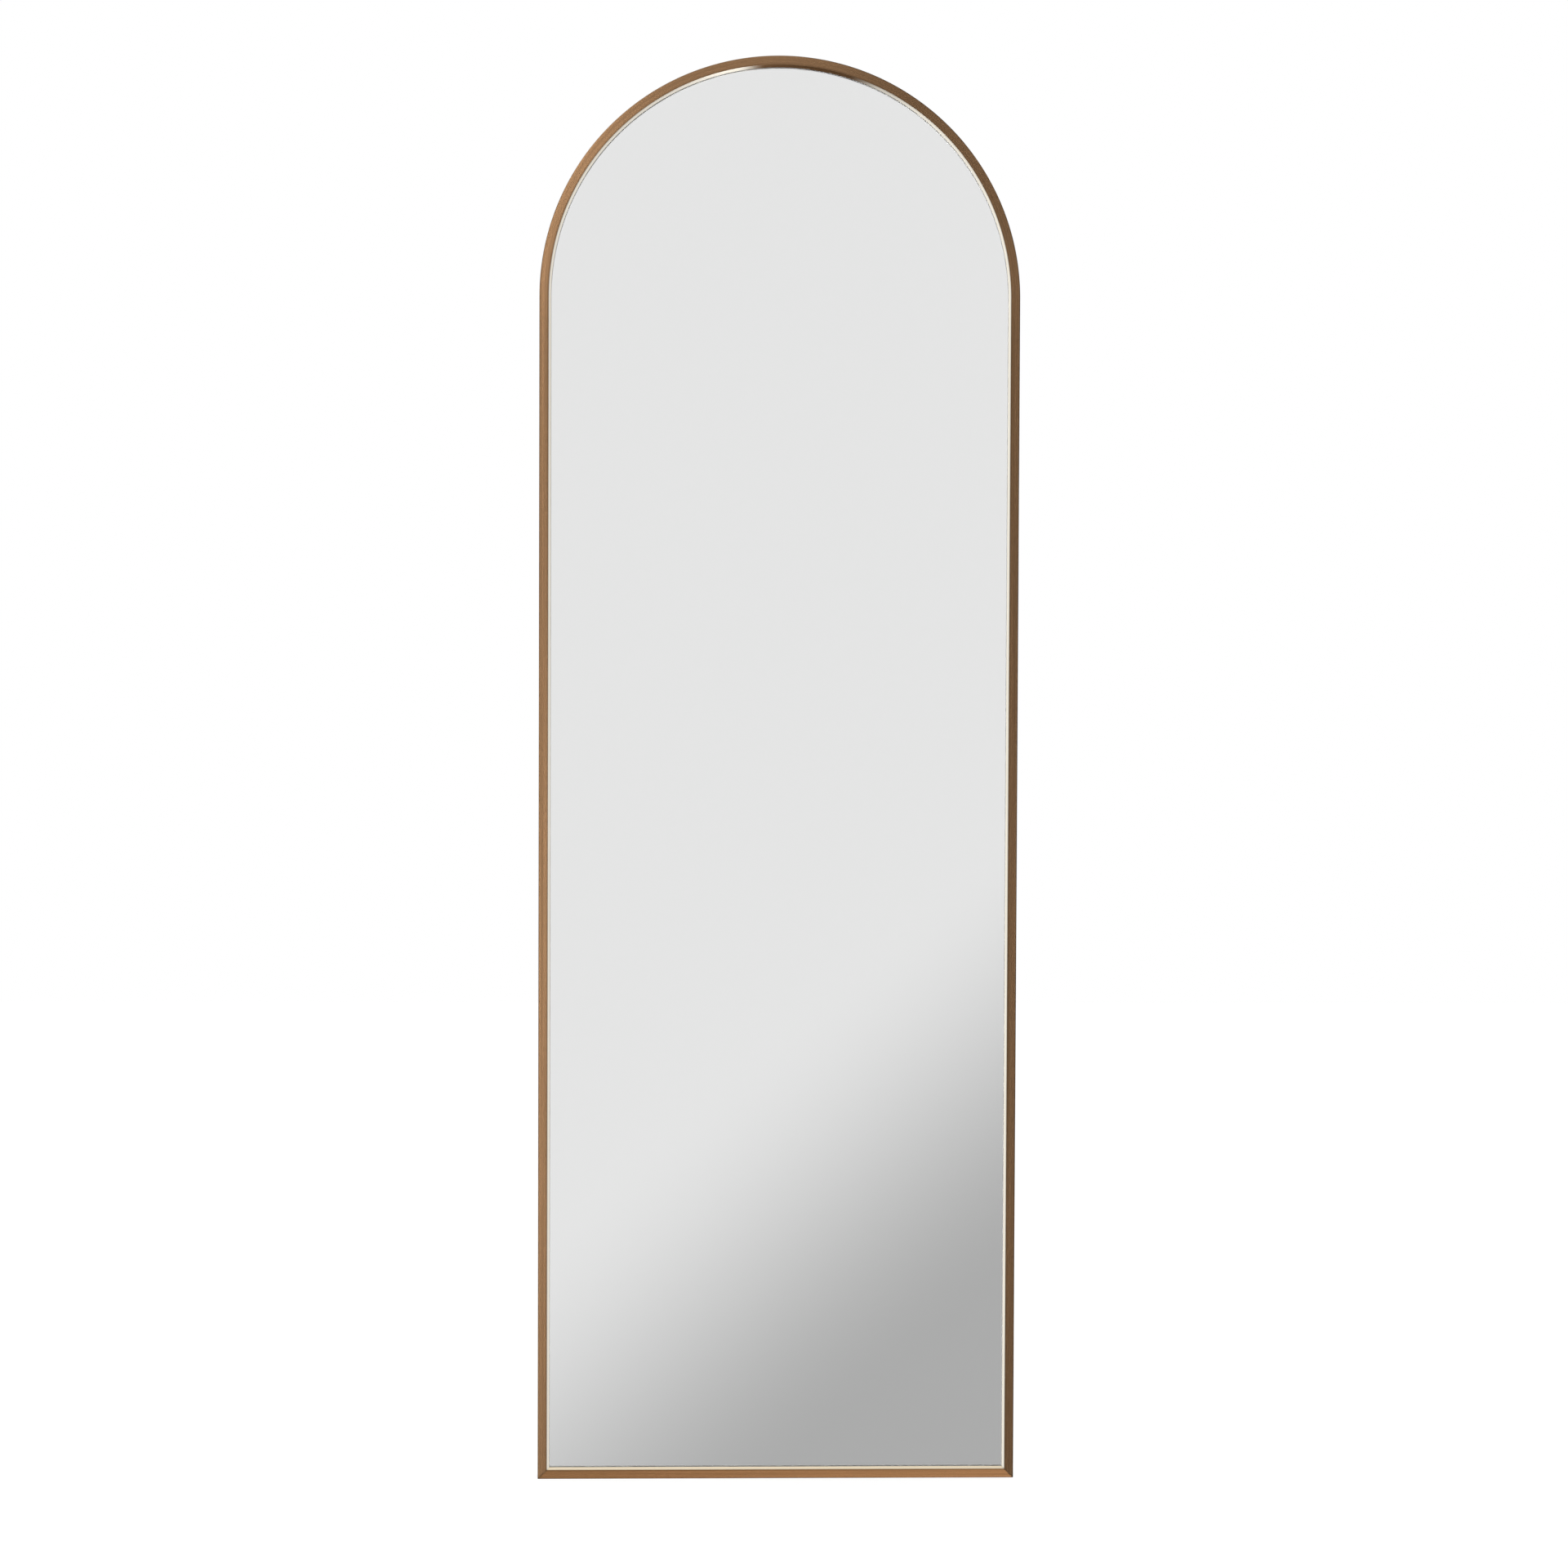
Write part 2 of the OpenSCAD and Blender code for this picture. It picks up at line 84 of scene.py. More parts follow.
def feed(tree, node, inputs):
    """Links or sets several inputs of a node."""
    for name, value in inputs.items():
        if isinstance(value, bpy.types.NodeSocket):
            tree.links.new(value, node.inputs[name])
        else:
            node.inputs[name].default_value = value


def put(tree, kind, inputs=None, **settings):
    """Adds a shader node, with its settings, and its inputs as links or plain values."""
    node = tree.nodes.new("ShaderNode" + kind)
    for name, value in settings.items():
        setattr(node, name, value)
    feed(tree, node, inputs or {})
    return node


def math_of(tree, kind, first, second=0.0):
    """One Math node on one or two values or sockets."""
    return put(tree, "Math", {0: first, 1: second}, operation=kind).outputs[0]


def product(tree, *factors):
    """All the factors multiplied, one after another."""
    result = factors[0]
    for factor in factors[1:]:
        result = math_of(tree, "MULTIPLY", result, factor)
    return result


def darkened(tree, mask, amount):
    """A level that is 1 off a mask and lower by the amount on it."""
    return put(tree, "Math", {0: mask, 1: -amount, 2: 1.0}, operation="MULTIPLY_ADD").outputs[0]


def ramp(tree, value, start, end, low, high):
    """A soft step from one level to another."""
    return put(
        tree,
        "MapRange",
        {"Value": value, "From Min": start, "From Max": end, "To Min": low, "To Max": high},
        interpolation_type="SMOOTHSTEP",
    ).outputs[0]


def between(tree, value, rise, fall):
    """1 between two soft edges, each given by the values where it starts and ends, and 0 outside them."""
    return product(tree, ramp(tree, value, *rise, 0.0, 1.0), ramp(tree, value, *fall, 1.0, 0.0))


def swing(tree, noise, low, high):
    """Turns the usual swing of a noise into a span of levels."""
    return put(
        tree, "MapRange", {"Value": noise, "From Min": 0.3, "From Max": 0.7, "To Min": low, "To Max": high}
    ).outputs[0]


def mixed(tree, mask, off, on):
    """One colour off a mask and another on it."""
    return put(tree, "Mix", {"Factor": mask, "A": off, "B": on}, data_type="RGBA").outputs[2]


def scaled(tree, colour, level):
    """A colour made lighter or darker by a level."""
    return put(tree, "VectorMath", {0: colour, 3: level}, operation="SCALE").outputs[0]


def new_group(name, inputs, outputs):
    """A shader node group with its named sockets, and its input and output nodes."""
    tree = bpy.data.node_groups.new(name, "ShaderNodeTree")
    for label, kind in inputs.items():
        tree.interface.new_socket(label, in_out="INPUT", socket_type="NodeSocket" + kind)
    for label, kind in outputs.items():
        tree.interface.new_socket(label, in_out="OUTPUT", socket_type="NodeSocket" + kind)
    return tree, tree.nodes.new("NodeGroupInput").outputs, tree.nodes.new("NodeGroupOutput").inputs


def use_group(tree, group, inputs):
    """Places a node group in a material with its own values."""
    node = tree.nodes.new("ShaderNodeGroup")
    node.node_tree = group
    feed(tree, node, inputs)
    return node.outputs


def new_material(name):
    """An empty material and its tree, principled shader and output."""
    material = bpy.data.materials.new(name)
    material.use_nodes = True
    tree = material.node_tree
    tree.nodes.clear()
    shader = put(tree, "BsdfPrincipled")
    put(tree, "OutputMaterial", {"Surface": shader.outputs[0]})
    return material, tree, shader


def object_point(tree):
    """Object coordinates, which on every piece here are metres in the shared frame."""
    return put(tree, "TexCoord").outputs["Object"]


# Effects that several finishes share

def make_mottle():
    """Slow and quick patches of lighter and darker tone on a colour."""
    inputs = {"Point": "Vector", "Colour": "Color", "Scale": "Float", "Spread": "Float"}
    tree, given, out = new_group("mottle", inputs, {"Colour": "Color"})
    noise = put(tree, "TexNoise", {"Vector": given["Point"], "Scale": given["Scale"], "Detail": 5.0})
    centred = math_of(tree, "SUBTRACT", noise.outputs["Fac"], 0.5)
    shift = put(tree, "Math", {0: centred, 1: given["Spread"], 2: 1.0}, operation="MULTIPLY_ADD").outputs[0]
    tree.links.new(scaled(tree, given["Colour"], shift), out["Colour"])
    return tree


def make_streaks():
    """Fine lines along the first axis of a point, from 0 to 1, as abrasive leaves them."""
    tree, given, out = new_group(
        "streaks", {"Point": "Vector", "Along": "Float", "Across": "Float"}, {"Streak": "Float"}
    )
    stretch = put(tree, "CombineXYZ", {"X": given["Along"], "Y": given["Across"], "Z": given["Across"]})
    drawn = put(tree, "VectorMath", {0: given["Point"], 1: stretch.outputs[0]}, operation="MULTIPLY")
    noise = put(tree, "TexNoise", {"Vector": drawn.outputs[0], "Scale": 1.0, "Detail": 3.0, "Roughness": 0.6})
    tree.links.new(noise.outputs["Fac"], out["Streak"])
    return tree


def make_speckle():
    """Small round grains, from 0 between them to 1 on them."""
    tree, given, out = new_group(
        "speckle", {"Point": "Vector", "Scale": "Float", "Size": "Float"}, {"Grain": "Float"}
    )
    cells = put(tree, "TexVoronoi", {"Vector": given["Point"], "Scale": given["Scale"]})
    grain = put(
        tree, "MapRange", {"Value": cells.outputs["Distance"], "From Min": given["Size"], "From Max": 0.0}
    )
    tree.links.new(grain.outputs[0], out["Grain"])
    return tree


def make_edge_band():
    """Mask that is 1 at an edge and fades to 0 over a width."""
    tree, given, out = new_group("edge_band", {"Distance": "Float", "Width": "Float"}, {"Mask": "Float"})
    tree.links.new(ramp(tree, given["Distance"], 0.0, given["Width"], 1.0, 0.0), out["Mask"])
    return tree


mottle = make_mottle()
streaks = make_streaks()
speckle = make_speckle()
edge_band = make_edge_band()


def toned(tree, point, colour, scale, spread):
    """A colour with patches of tone."""
    return use_group(
        tree, mottle, {"Point": point, "Colour": colour, "Scale": scale, "Spread": spread}
    )["Colour"]


def streaked(tree, point, along, across):
    """Brush lines, by how quickly they change along and across their length."""
    return use_group(tree, streaks, {"Point": point, "Along": along, "Across": across})["Streak"]


def near(tree, value, place, width):
    """Mask that is 1 at a place along one axis and fades out on both sides of it."""
    away = math_of(tree, "ABSOLUTE", math_of(tree, "SUBTRACT", value, place))
    return use_group(tree, edge_band, {"Distance": away, "Width": width})["Mask"]


FRAME_UV = "along_frame"
BRUSHING = "brushing"

BOW_BRONZE = (0.270, 0.153, 0.077, 1)
RAIL_BRONZE = (0.272, 0.137, 0.059, 1)
BOW_BEVEL = (0.97, 0.91, 0.79, 1)
CROWN_PAINTED_SHADE = (0.200, 0.105, 0.048, 1)
RAIL_BEVEL = (0.98, 0.84, 0.62, 1)

# Painted light and shade in the bronze: lighter on the left, painted shade on the right, on one shoulder,
# down the legs and beside the bevel; and a dark line along the mitres
MITRE_BLEND = 0.0005
MITRE_LINE_W = 0.0012
MITRE_SHADE = 0.65
BESIDE_BEVEL_SHADE_IN = 0.0009
BESIDE_BEVEL_SHADE_W = 0.0013
BESIDE_BEVEL_SHADE = 0.28
LEG_TOP = (SPRING_Z - 0.05, SPRING_Z + 0.02)
LEG_PAINTED_SHADE = 0.87
RAIL_TONE = 0.97
LEFT_X = -0.22
LEFT_PAINTED_LIGHT = 1.12
RIGHT_PAINTED_SHADE = 0.80
SHOULDER_X = 0.19
SHOULDER_W = 0.16
SHOULDER_RISE = (SPRING_Z + 0.02, SPRING_Z + 0.12)
SHOULDER_SHADE = 0.24

# The stretch of the bevel over the crown that gets painted shade in the tone of the bronze
CROWN_START = (-0.055, -0.020)
CROWN_END = (0.085, 0.130)
CROWN_RISE = (SPRING_Z, SPRING_Z + 0.1)
ARRIS_W = 0.0014
ARRIS_SHADE = 0.35

# How far past the sight edge the silver would mirror the back of the lip, and how dull it is there
SIDE_FROST = 0.00027
FROST_LEAN = (0.00009, 0, 0.00045)
FOOT_FROST = 0.0009
FROST_EDGE = (-0.00005, 0.0001)
FROST_ROUGH = 0.45


def brushed_bronze():
    """Anodised profile: lines along the length, a slow drift of tone, a dark line along the mitres, painted
    light on the left and painted shade on the right, on one shoulder, down the legs and beside the bevel.
    """
    material, tree, shader = new_material("brushed_bronze")
    place = put(tree, "UVMap", uv_map=FRAME_UV).outputs[0]
    inset = put(tree, "SeparateXYZ", {0: place}).outputs["Y"]
    fine = streaked(tree, place, 14.0, 1500.0)
    broad = streaked(tree, place, 1.6, 330.0)
    line = put(tree, "Mix", {"Factor": 0.35, "A": fine, "B": broad}).outputs[0]
    point = object_point(tree)
    parts = put(tree, "SeparateXYZ", {0: point}).outputs
    outward = math_of(tree, "SUBTRACT", HALF_W + FOOT_Z, math_of(tree, "ABSOLUTE", parts["X"]))
    past_mitre = math_of(tree, "SUBTRACT", outward, parts["Z"])
    on_rail = ramp(tree, past_mitre, -MITRE_BLEND, MITRE_BLEND, 0.0, 1.0)
    drift = toned(tree, point, mixed(tree, on_rail, BOW_BRONZE, RAIL_BRONZE), 2.4, 0.10)
    # Painted light and shade: the bow's bronze is made lighter on the left and darker on the right; the rail
    # keeps one flat level
    painted_side_light_and_shade = ramp(tree, parts["X"], LEFT_X, HALF_W, LEFT_PAINTED_LIGHT, RIGHT_PAINTED_SHADE)
    # Painted shade on the right shoulder of the arch
    painted_shoulder_shade = product(
        tree, near(tree, parts["X"], SHOULDER_X, SHOULDER_W), ramp(tree, parts["Z"], *SHOULDER_RISE, 0.0, 1.0)
    )
    shade = product(
        tree,
        put(tree, "Mix", {"Factor": on_rail, "A": painted_side_light_and_shade, "B": RAIL_TONE}).outputs[0],
        darkened(tree, painted_shoulder_shade, SHOULDER_SHADE),
        # Painted shade: the legs darker than the arch
        math_of(tree, "MAXIMUM", ramp(tree, parts["Z"], *LEG_TOP, LEG_PAINTED_SHADE, 1.0), on_rail),
        swing(tree, fine, 0.95, 1.05),
        swing(tree, broad, 0.78, 1.22),
        darkened(tree, near(tree, past_mitre, 0.0, MITRE_LINE_W), MITRE_SHADE),
        # Painted shade in a thin line on the face just beside the bevel
        darkened(tree, near(tree, inset, FACE_W - BESIDE_BEVEL_SHADE_IN, BESIDE_BEVEL_SHADE_W), BESIDE_BEVEL_SHADE),
    )
    rough = put(
        tree, "MapRange", {"Value": line, "From Min": 0.25, "From Max": 0.75, "To Min": 0.32, "To Max": 0.24}
    )
    bump = put(tree, "Bump", {"Height": line, "Strength": 0.06, "Distance": 0.0002})
    brushing = put(tree, "Attribute", attribute_type="GEOMETRY", attribute_name=BRUSHING)
    feed(tree, shader, {
        "Base Color": scaled(tree, drift, shade),
        "Metallic": 0.97,
        "Roughness": rough.outputs[0],
        "Anisotropic": 0.8,
        "Anisotropic Rotation": 0.25,
        "Tangent": brushing.outputs["Vector"],
        "Normal": bump.outputs[0],
    })
    return material


def bright_bevel(name, colour):
    """Diamond-cut bevel: pale and nearly polished, with painted shade along its outer arris and painted shade
    in the tone of the bronze over the crown.
    """
    material, tree, shader = new_material(name)
    place = put(tree, "UVMap", uv_map=FRAME_UV).outputs[0]
    inset = put(tree, "SeparateXYZ", {0: place}).outputs["Y"]
    point = object_point(tree)
    parts = put(tree, "SeparateXYZ", {0: point}).outputs
    # Painted shade: the bevel over the crown takes the dark tone of the bronze in place of its bright metal
    painted_crown_shade = product(
        tree,
        between(tree, parts["X"], CROWN_START, CROWN_END),
        ramp(tree, parts["Z"], *CROWN_RISE, 0.0, 1.0),
    )
    base = toned(tree, point, mixed(tree, painted_crown_shade, colour, CROWN_PAINTED_SHADE), 6.0, 0.08)
    # Painted shade along the outer arris of the bevel, where it meets the face
    shade = darkened(tree, near(tree, inset, FACE_W, ARRIS_W), ARRIS_SHADE)
    line = streaked(tree, place, 9.0, 900.0)
    rough = put(tree, "MapRange", {"Value": line, "To Min": 0.10, "To Max": 0.20})
    feed(tree, shader, {
        "Base Color": scaled(tree, base, shade),
        "Metallic": 1.0,
        "Roughness": rough.outputs[0],
    })
    return material


def silvering():
    """Silver on the back of the glass, faintly cloudy, frosted where the lip would be mirrored in it."""
    material, tree, shader = new_material("silvering")
    point = object_point(tree)
    parts = put(tree, "SeparateXYZ", {0: point}).outputs
    rise = math_of(tree, "MAXIMUM", math_of(tree, "SUBTRACT", parts["Z"], SPRING_Z), 0.0)
    spoke = put(tree, "CombineXYZ", {"X": parts["X"], "Z": rise}).outputs[0]
    reach = put(tree, "VectorMath", {0: spoke}, operation="LENGTH").outputs["Value"]
    outward = put(tree, "VectorMath", {0: spoke}, operation="NORMALIZE").outputs["Vector"]
    more = put(tree, "VectorMath", {0: outward, 1: FROST_LEAN}, operation="DOT_PRODUCT").outputs["Value"]
    past_side = math_of(tree, "ADD", math_of(tree, "ADD", reach, more), SIGHT_W + SIDE_FROST - HALF_W)
    past_foot = math_of(tree, "SUBTRACT", SIGHT_W + FOOT_FROST + FOOT_Z, parts["Z"])
    frost = ramp(tree, math_of(tree, "MAXIMUM", past_side, past_foot), *FROST_EDGE, 0.0, FROST_ROUGH)
    colour = toned(tree, point, (0.955, 0.955, 0.955, 1), 3.0, 0.004)
    feed(tree, shader, {"Base Color": colour, "Metallic": 1.0, "Roughness": frost})
    return material


def float_glass():
    """Clear float glass, slightly green."""
    material, tree, shader = new_material("float_glass")
    colour = toned(tree, object_point(tree), (0.990, 0.994, 0.991, 1), 2.0, 0.004)
    feed(tree, shader, {
        "Base Color": colour,
        "Metallic": 0.0,
        "Roughness": 0.0,
        "IOR": 1.52,
        "Transmission Weight": 1.0,
    })
    return material


def safety_film():
    """Woven-look film that holds the pieces if the glass breaks."""
    material, tree, shader = new_material("safety_film")
    point = object_point(tree)
    weave = put(
        tree, "TexWave", {"Vector": point, "Scale": 600.0, "Distortion": 0.0}, bands_direction="DIAGONAL"
    )
    colour = toned(tree, point, (0.42, 0.48, 0.54, 1), 40.0, 0.2)
    bump = put(tree, "Bump", {"Height": weave.outputs["Fac"], "Strength": 0.2, "Distance": 0.0001})
    feed(tree, shader, {"Base Color": colour, "Roughness": 0.45, "Normal": bump.outputs[0]})
    return material


def foam(name, colour, scale):
    """Closed-cell foam: small cells that show in the tone and the surface."""
    material, tree, shader = new_material(name)
    point = object_point(tree)
    cells = use_group(tree, speckle, {"Point": point, "Scale": scale, "Size": 0.7})["Grain"]
    bump = put(tree, "Bump", {"Height": cells, "Strength": 0.5, "Distance": 0.0004})
    feed(tree, shader, {
        "Base Color": toned(tree, point, colour, scale / 6, 0.25),
        "Roughness": 0.85,
        "Sheen Weight": 0.1,
        "Normal": bump.outputs[0],
    })
    return material


def fibreboard():
    """Hard fibreboard: short flecks of fibre, cloudy tone, a dull sealed face."""
    material, tree, shader = new_material("fibreboard")
    point = object_point(tree)
    cloud = toned(tree, point, (0.40, 0.27, 0.165, 1), 9.0, 0.28)
    flecked = toned(tree, point, cloud, 420.0, 0.75)
    fibre = put(tree, "TexNoise", {"Vector": point, "Scale": 650.0, "Detail": 4.0})
    pale = put(tree, "MapRange", {"Value": fibre.outputs["Fac"], "From Min": 0.62, "From Max": 0.74})
    colour = mixed(tree, pale.outputs[0], flecked, (0.55, 0.41, 0.27, 1))
    bump = put(tree, "Bump", {"Height": fibre.outputs["Fac"], "Strength": 0.35, "Distance": 0.0003})
    feed(tree, shader, {"Base Color": colour, "Roughness": 0.72, "Normal": bump.outputs[0]})
    return material


RUBBED_EDGE = (0.82, 0.82, 0.83, 1)
RUBBED_W = 0.0016


def plated_steel(name, colour, edges=()):
    """Zinc-plated steel: rolled lines, slow clouds and bright rubbed edges at the given heights."""
    material, tree, shader = new_material(name)
    point = object_point(tree)
    line = streaked(tree, point, 12.0, 700.0)
    metal = scaled(tree, toned(tree, point, colour, 55.0, 0.30), swing(tree, line, 0.88, 1.10))
    height = put(tree, "SeparateXYZ", {0: point}).outputs["Z"]
    for edge in edges:
        metal = mixed(tree, near(tree, height, edge, RUBBED_W), metal, RUBBED_EDGE)
    rough = put(tree, "MapRange", {"Value": line, "To Min": 0.28, "To Max": 0.46})
    feed(tree, shader, {"Base Color": metal, "Metallic": 1.0, "Roughness": rough.outputs[0]})
    return material


def rubber(name, colour):
    """Moulded black rubber: fine grain and a little dust."""
    material, tree, shader = new_material(name)
    point = object_point(tree)
    grain = use_group(tree, speckle, {"Point": point, "Scale": 1800.0, "Size": 0.6})["Grain"]
    bump = put(tree, "Bump", {"Height": grain, "Strength": 0.3, "Distance": 0.0001})
    feed(tree, shader, {
        "Base Color": toned(tree, point, colour, 260.0, 0.7),
        "Roughness": 0.62,
        "Normal": bump.outputs[0],
    })
    return material


def cast_zinc():
    """Die-cast zinc, matt grey with a cloudy skin."""
    material, tree, shader = new_material("cast_zinc")
    point = object_point(tree)
    skin = put(tree, "TexNoise", {"Vector": point, "Scale": 900.0, "Detail": 3.0})
    bump = put(tree, "Bump", {"Height": skin.outputs["Fac"], "Strength": 0.3, "Distance": 0.0002})
    feed(tree, shader, {
        "Base Color": toned(tree, point, (0.55, 0.56, 0.57, 1), 120.0, 0.35),
        "Metallic": 0.9,
        "Roughness": 0.5,
        "Normal": bump.outputs[0],
    })
    return material


# Modelling helpers

def clear_selection():
    """Leaves nothing selected."""
    bpy.ops.object.select_all(action="DESELECT")


def edit(piece):
    """Makes a piece the only selected and active one and enters edit mode."""
    clear_selection()
    piece.select_set(True)
    bpy.context.view_layer.objects.active = piece
    bpy.ops.object.mode_set(mode="EDIT")


def select_faces(piece, wanted):
    """Selects only the faces whose centre satisfies a test, in edit mode."""
    bpy.ops.mesh.select_all(action="DESELECT")
    bpy.ops.mesh.select_mode(type="FACE")
    mesh = bmesh.from_edit_mesh(piece.data)
    for face in mesh.faces:
        face.select_set(wanted(face.calc_center_median()))
    bmesh.update_edit_mesh(piece.data)


def select_edges(piece, wanted):
    """Selects only the edges that satisfy a test, in edit mode."""
    bpy.ops.mesh.select_all(action="DESELECT")
    bpy.ops.mesh.select_mode(type="EDGE")
    mesh = bmesh.from_edit_mesh(piece.data)
    for edge in mesh.edges:
        edge.select_set(wanted(edge))
    bmesh.update_edit_mesh(piece.data)


def select_points(piece, wanted):
    """Selects only the points that satisfy a test, in edit mode."""
    bpy.ops.mesh.select_all(action="DESELECT")
    bpy.ops.mesh.select_mode(type="VERT")
    mesh = bmesh.from_edit_mesh(piece.data)
    for vertex in mesh.verts:
        vertex.select_set(wanted(vertex.co))
    bmesh.update_edit_mesh(piece.data)


def cut(piece, place, normal, clear_outer=False):
    """Cuts a piece by a plane."""
    bpy.ops.mesh.select_all(action="SELECT")
    normal = Vector(normal).normalized()
    bpy.ops.mesh.bisect(plane_co=place, plane_no=normal, clear_outer=clear_outer, threshold=1e-6)


def mitre(piece, at_end, inset, back):
    """Slides the square end of a profile to its mitre, one row of points at a time from the outside in."""
    mesh = bmesh.from_edit_mesh(piece.data)
    rows = sorted({round(inset(vertex.co), 6) for vertex in mesh.verts if at_end(vertex.co)})
    for row in rows:
        select_points(piece, lambda point: at_end(point) and abs(inset(point) - row) < HAIR)
        bpy.ops.transform.translate(value=back * (row + MITRE_GAP / sqrt(2)))


def draw_section(name, corner, inward, turn):
    """Draws the hollow profile as a flat sheet: cut lines at every step, then the open parts deleted."""
    def at(inset, depth):
        return corner + inward * inset + BACK * depth

    def inset_of(point):
        return (point - corner).dot(inward)

    def depth_of(point):
        return (point - corner).dot(BACK)

    middle = at(SIGHT_W / 2, FRAME_D / 2)
    bpy.ops.mesh.primitive_plane_add(size=FRAME_D, calc_uvs=False, location=middle, rotation=turn)
    piece = bpy.context.object
    piece.name = name
    bpy.ops.object.transform_apply(location=True, rotation=True, scale=True)
    edit(piece)
    narrow = [1 + (SIGHT_W / FRAME_D - 1) * part for part in inward]
    bpy.ops.transform.resize(value=narrow, center_override=middle)
    for inset in (WALL_T, WALL_T + CHAMBER_W, FACE_W, TUBE_W):
        cut(piece, at(inset, 0), inward)
    for depth in (LIP_T, WEB_D, CHAMBER_D, CHAMBER_REAR):
        cut(piece, at(0, depth), BACK)
    cut(piece, at(FACE_W, 0), inward * BEVEL_D - BACK * BEVEL_W, clear_outer=True)
    cut(piece, at(0, FRONT_CHAMFER), -inward - BACK, clear_outer=True)
    cut(piece, at(0, FRAME_D - REAR_CHAMFER), BACK - inward, clear_outer=True)

    def open_part(centre):
        inset, depth = inset_of(centre), depth_of(centre)
        in_groove = inset > WALL_T and LIP_T < depth < WEB_D
        in_chamber = WALL_T < inset < WALL_T + CHAMBER_W and CHAMBER_D < depth < CHAMBER_REAR
        past_tube = inset > TUBE_W and depth > LIP_T
        return in_groove or in_chamber or past_tube

    select_faces(piece, open_part)
    bpy.ops.mesh.delete(type="FACE")
    return piece


def round_edges(piece, width):
    """Rounds every sharp edge a little, as drawing and brushing leave it."""
    bpy.ops.object.mode_set(mode="OBJECT")
    soft = piece.modifiers.new("edge_round", "BEVEL")
    soft.width = width
    soft.segments = 2
    soft.limit_method = "ANGLE"
    soft.angle_limit = radians(20)
    bpy.ops.object.modifier_apply(modifier=soft.name)
    bpy.ops.object.shade_smooth_by_angle(angle=radians(35))
    flat = piece.modifiers.new("flat_faces", "WEIGHTED_NORMAL")
    flat.mode = "FACE_AREA"
    flat.weight = 100
    flat.keep_sharp = True
    bpy.ops.object.modifier_apply(modifier=flat.name)


def lay_uv(piece, along, inset):
    """Writes a map whose first axis runs along the frame and whose second runs across its outline."""
    layer = piece.data.uv_layers.new(name=FRAME_UV)
    for face in piece.data.polygons:
        facing = abs(face.normal.y) > 0.5
        for corner in face.loop_indices:
            point = piece.data.vertices[piece.data.loops[corner].vertex_index].co
            layer.data[corner].uv = (along(point), inset(point) if facing else point.y)


def lay_brushing(piece, course):
    """Writes the direction of the brush lines at every point."""
    lines = piece.data.attributes.new(name=BRUSHING, type="FLOAT_VECTOR", domain="POINT")
    for vertex in piece.data.vertices:
        lines.data[vertex.index].vector = course(vertex.co)


def dress_profile(piece, inset, face_finish, bevel_finish):
    """Gives the cut bevel its own finish and the rest the brushed one."""
    piece.data.materials.append(face_finish)
    piece.data.materials.append(bevel_finish)
    for face in piece.data.polygons:
        depth = face.center.y - FRONT_Y
        on_bevel = inset(face.center) > FACE_W and depth < LIP_T + HAIR
        face.material_index = 1 if on_bevel else 0


def bow_along(point):
    """Distance along the bow from the foot of the left leg."""
    leg = SPRING_Z - FOOT_Z
    if point.z < SPRING_Z:
        return point.z - FOOT_Z if point.x < 0 else leg + pi * HALF_W + SPRING_Z - point.z
    return leg + HALF_W * (pi - atan2(point.z - SPRING_Z, point.x))


def bow_inset(point):
    """Distance in from the outer edge of the bow."""
    if point.z < SPRING_Z:
        return HALF_W - abs(point.x)
    return HALF_W - hypot(point.x, point.z - SPRING_Z)


def bow_course(point):
    """Direction of the bow at a point: upright on the legs, round the centre on the arch."""
    rise = max(point.z - SPRING_Z, 0)
    return Vector((-rise, 0, point.x)).normalized()


def rail_along(point):
    """Distance along the rail from its left end."""
    return point.x + HALF_W


def rail_inset(point):
    """Distance in from the lower edge of the rail."""
    return point.z - FOOT_Z


def rail_course(point):
    """Direction of the rail, the same at every point."""
    return ACROSS


def model_bow():
    """The bent profile: its section spun round the arch, both ends drawn down and mitred."""
    corner = Vector((-HALF_W, FRONT_Y, SPRING_Z))
    piece = draw_section("bow_profile", corner, ACROSS, (0, 0, 0))
    bpy.ops.mesh.select_all(action="SELECT")
    bpy.ops.mesh.spin(steps=ARCH_STEPS, angle=-pi, center=(0, 0, SPRING_Z), axis=(0, 1, 0))
    select_faces(piece, lambda centre: abs(centre.z - SPRING_Z) < HAIR)
    bpy.ops.mesh.extrude_region_move(TRANSFORM_OT_translate={"value": (0, 0, FOOT_Z - SPRING_Z)})
    mitre(piece, lambda point: abs(point.z - FOOT_Z) < HAIR, bow_inset, UP)
    bpy.ops.mesh.select_all(action="SELECT")
    bpy.ops.mesh.remove_doubles(threshold=1e-6)
    bpy.ops.mesh.normals_make_consistent(inside=False)
    return piece


def model_rail():
    """The straight profile across the foot, mitred at both ends."""
    corner = Vector((0, FRONT_Y, FOOT_Z))
    piece = draw_section("rail_profile", corner, UP, (0, -pi / 2, 0))
    bpy.ops.mesh.select_all(action="SELECT")
    bpy.ops.transform.translate(value=(-HALF_W, 0, 0))
    bpy.ops.mesh.extrude_region_move(TRANSFORM_OT_translate={"value": (2 * HALF_W, 0, 0)})
    for side in (-1, 1):
        mitre(piece, lambda point: abs(point.x - side * HALF_W) < HAIR, rail_inset, -side * ACROSS)
    bpy.ops.mesh.select_all(action="SELECT")
    bpy.ops.mesh.normals_make_consistent(inside=False)
    return piece


